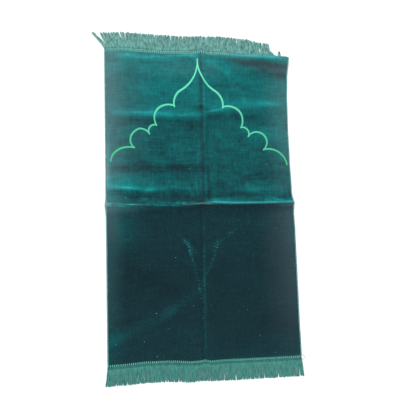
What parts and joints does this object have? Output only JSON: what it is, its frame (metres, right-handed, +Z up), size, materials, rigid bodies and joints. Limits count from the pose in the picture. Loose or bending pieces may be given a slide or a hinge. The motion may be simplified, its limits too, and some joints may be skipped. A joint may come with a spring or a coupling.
{
  "type": "prayer rug",
  "caption": "Flat velvet prayer rug with a woven arch line, overlocked sides and a looped fringe at each end, lying with soft fold creases.",
  "frame": {"origin": "on the floor under the middle of the rug's bounding box", "axes": "+Y along the rug towards the point of the arch, +X to the right seen from above, +Z up out of the pile"},
  "size_m": [0.7492, 1.2448, 0.0188],
  "materials": {
    "velvet": "cut pile velvet with a lengthwise nap, teal green, mint arch line",
    "overlock": "wrapped thread edge",
    "trimming": "woven yarn band with chain stitch rows",
    "fringe": "twisted yarn loops"
  },
  "bodies": {
    "root": {"velvet_panel": "velvet", "overlock_left": "overlock", "overlock_right": "overlock", "header_tape_top": "trimming", "header_tape_bottom": "trimming", "fringe_comb_top": "fringe", "fringe_comb_bottom": "fringe"}
  },
  "joints": []
}
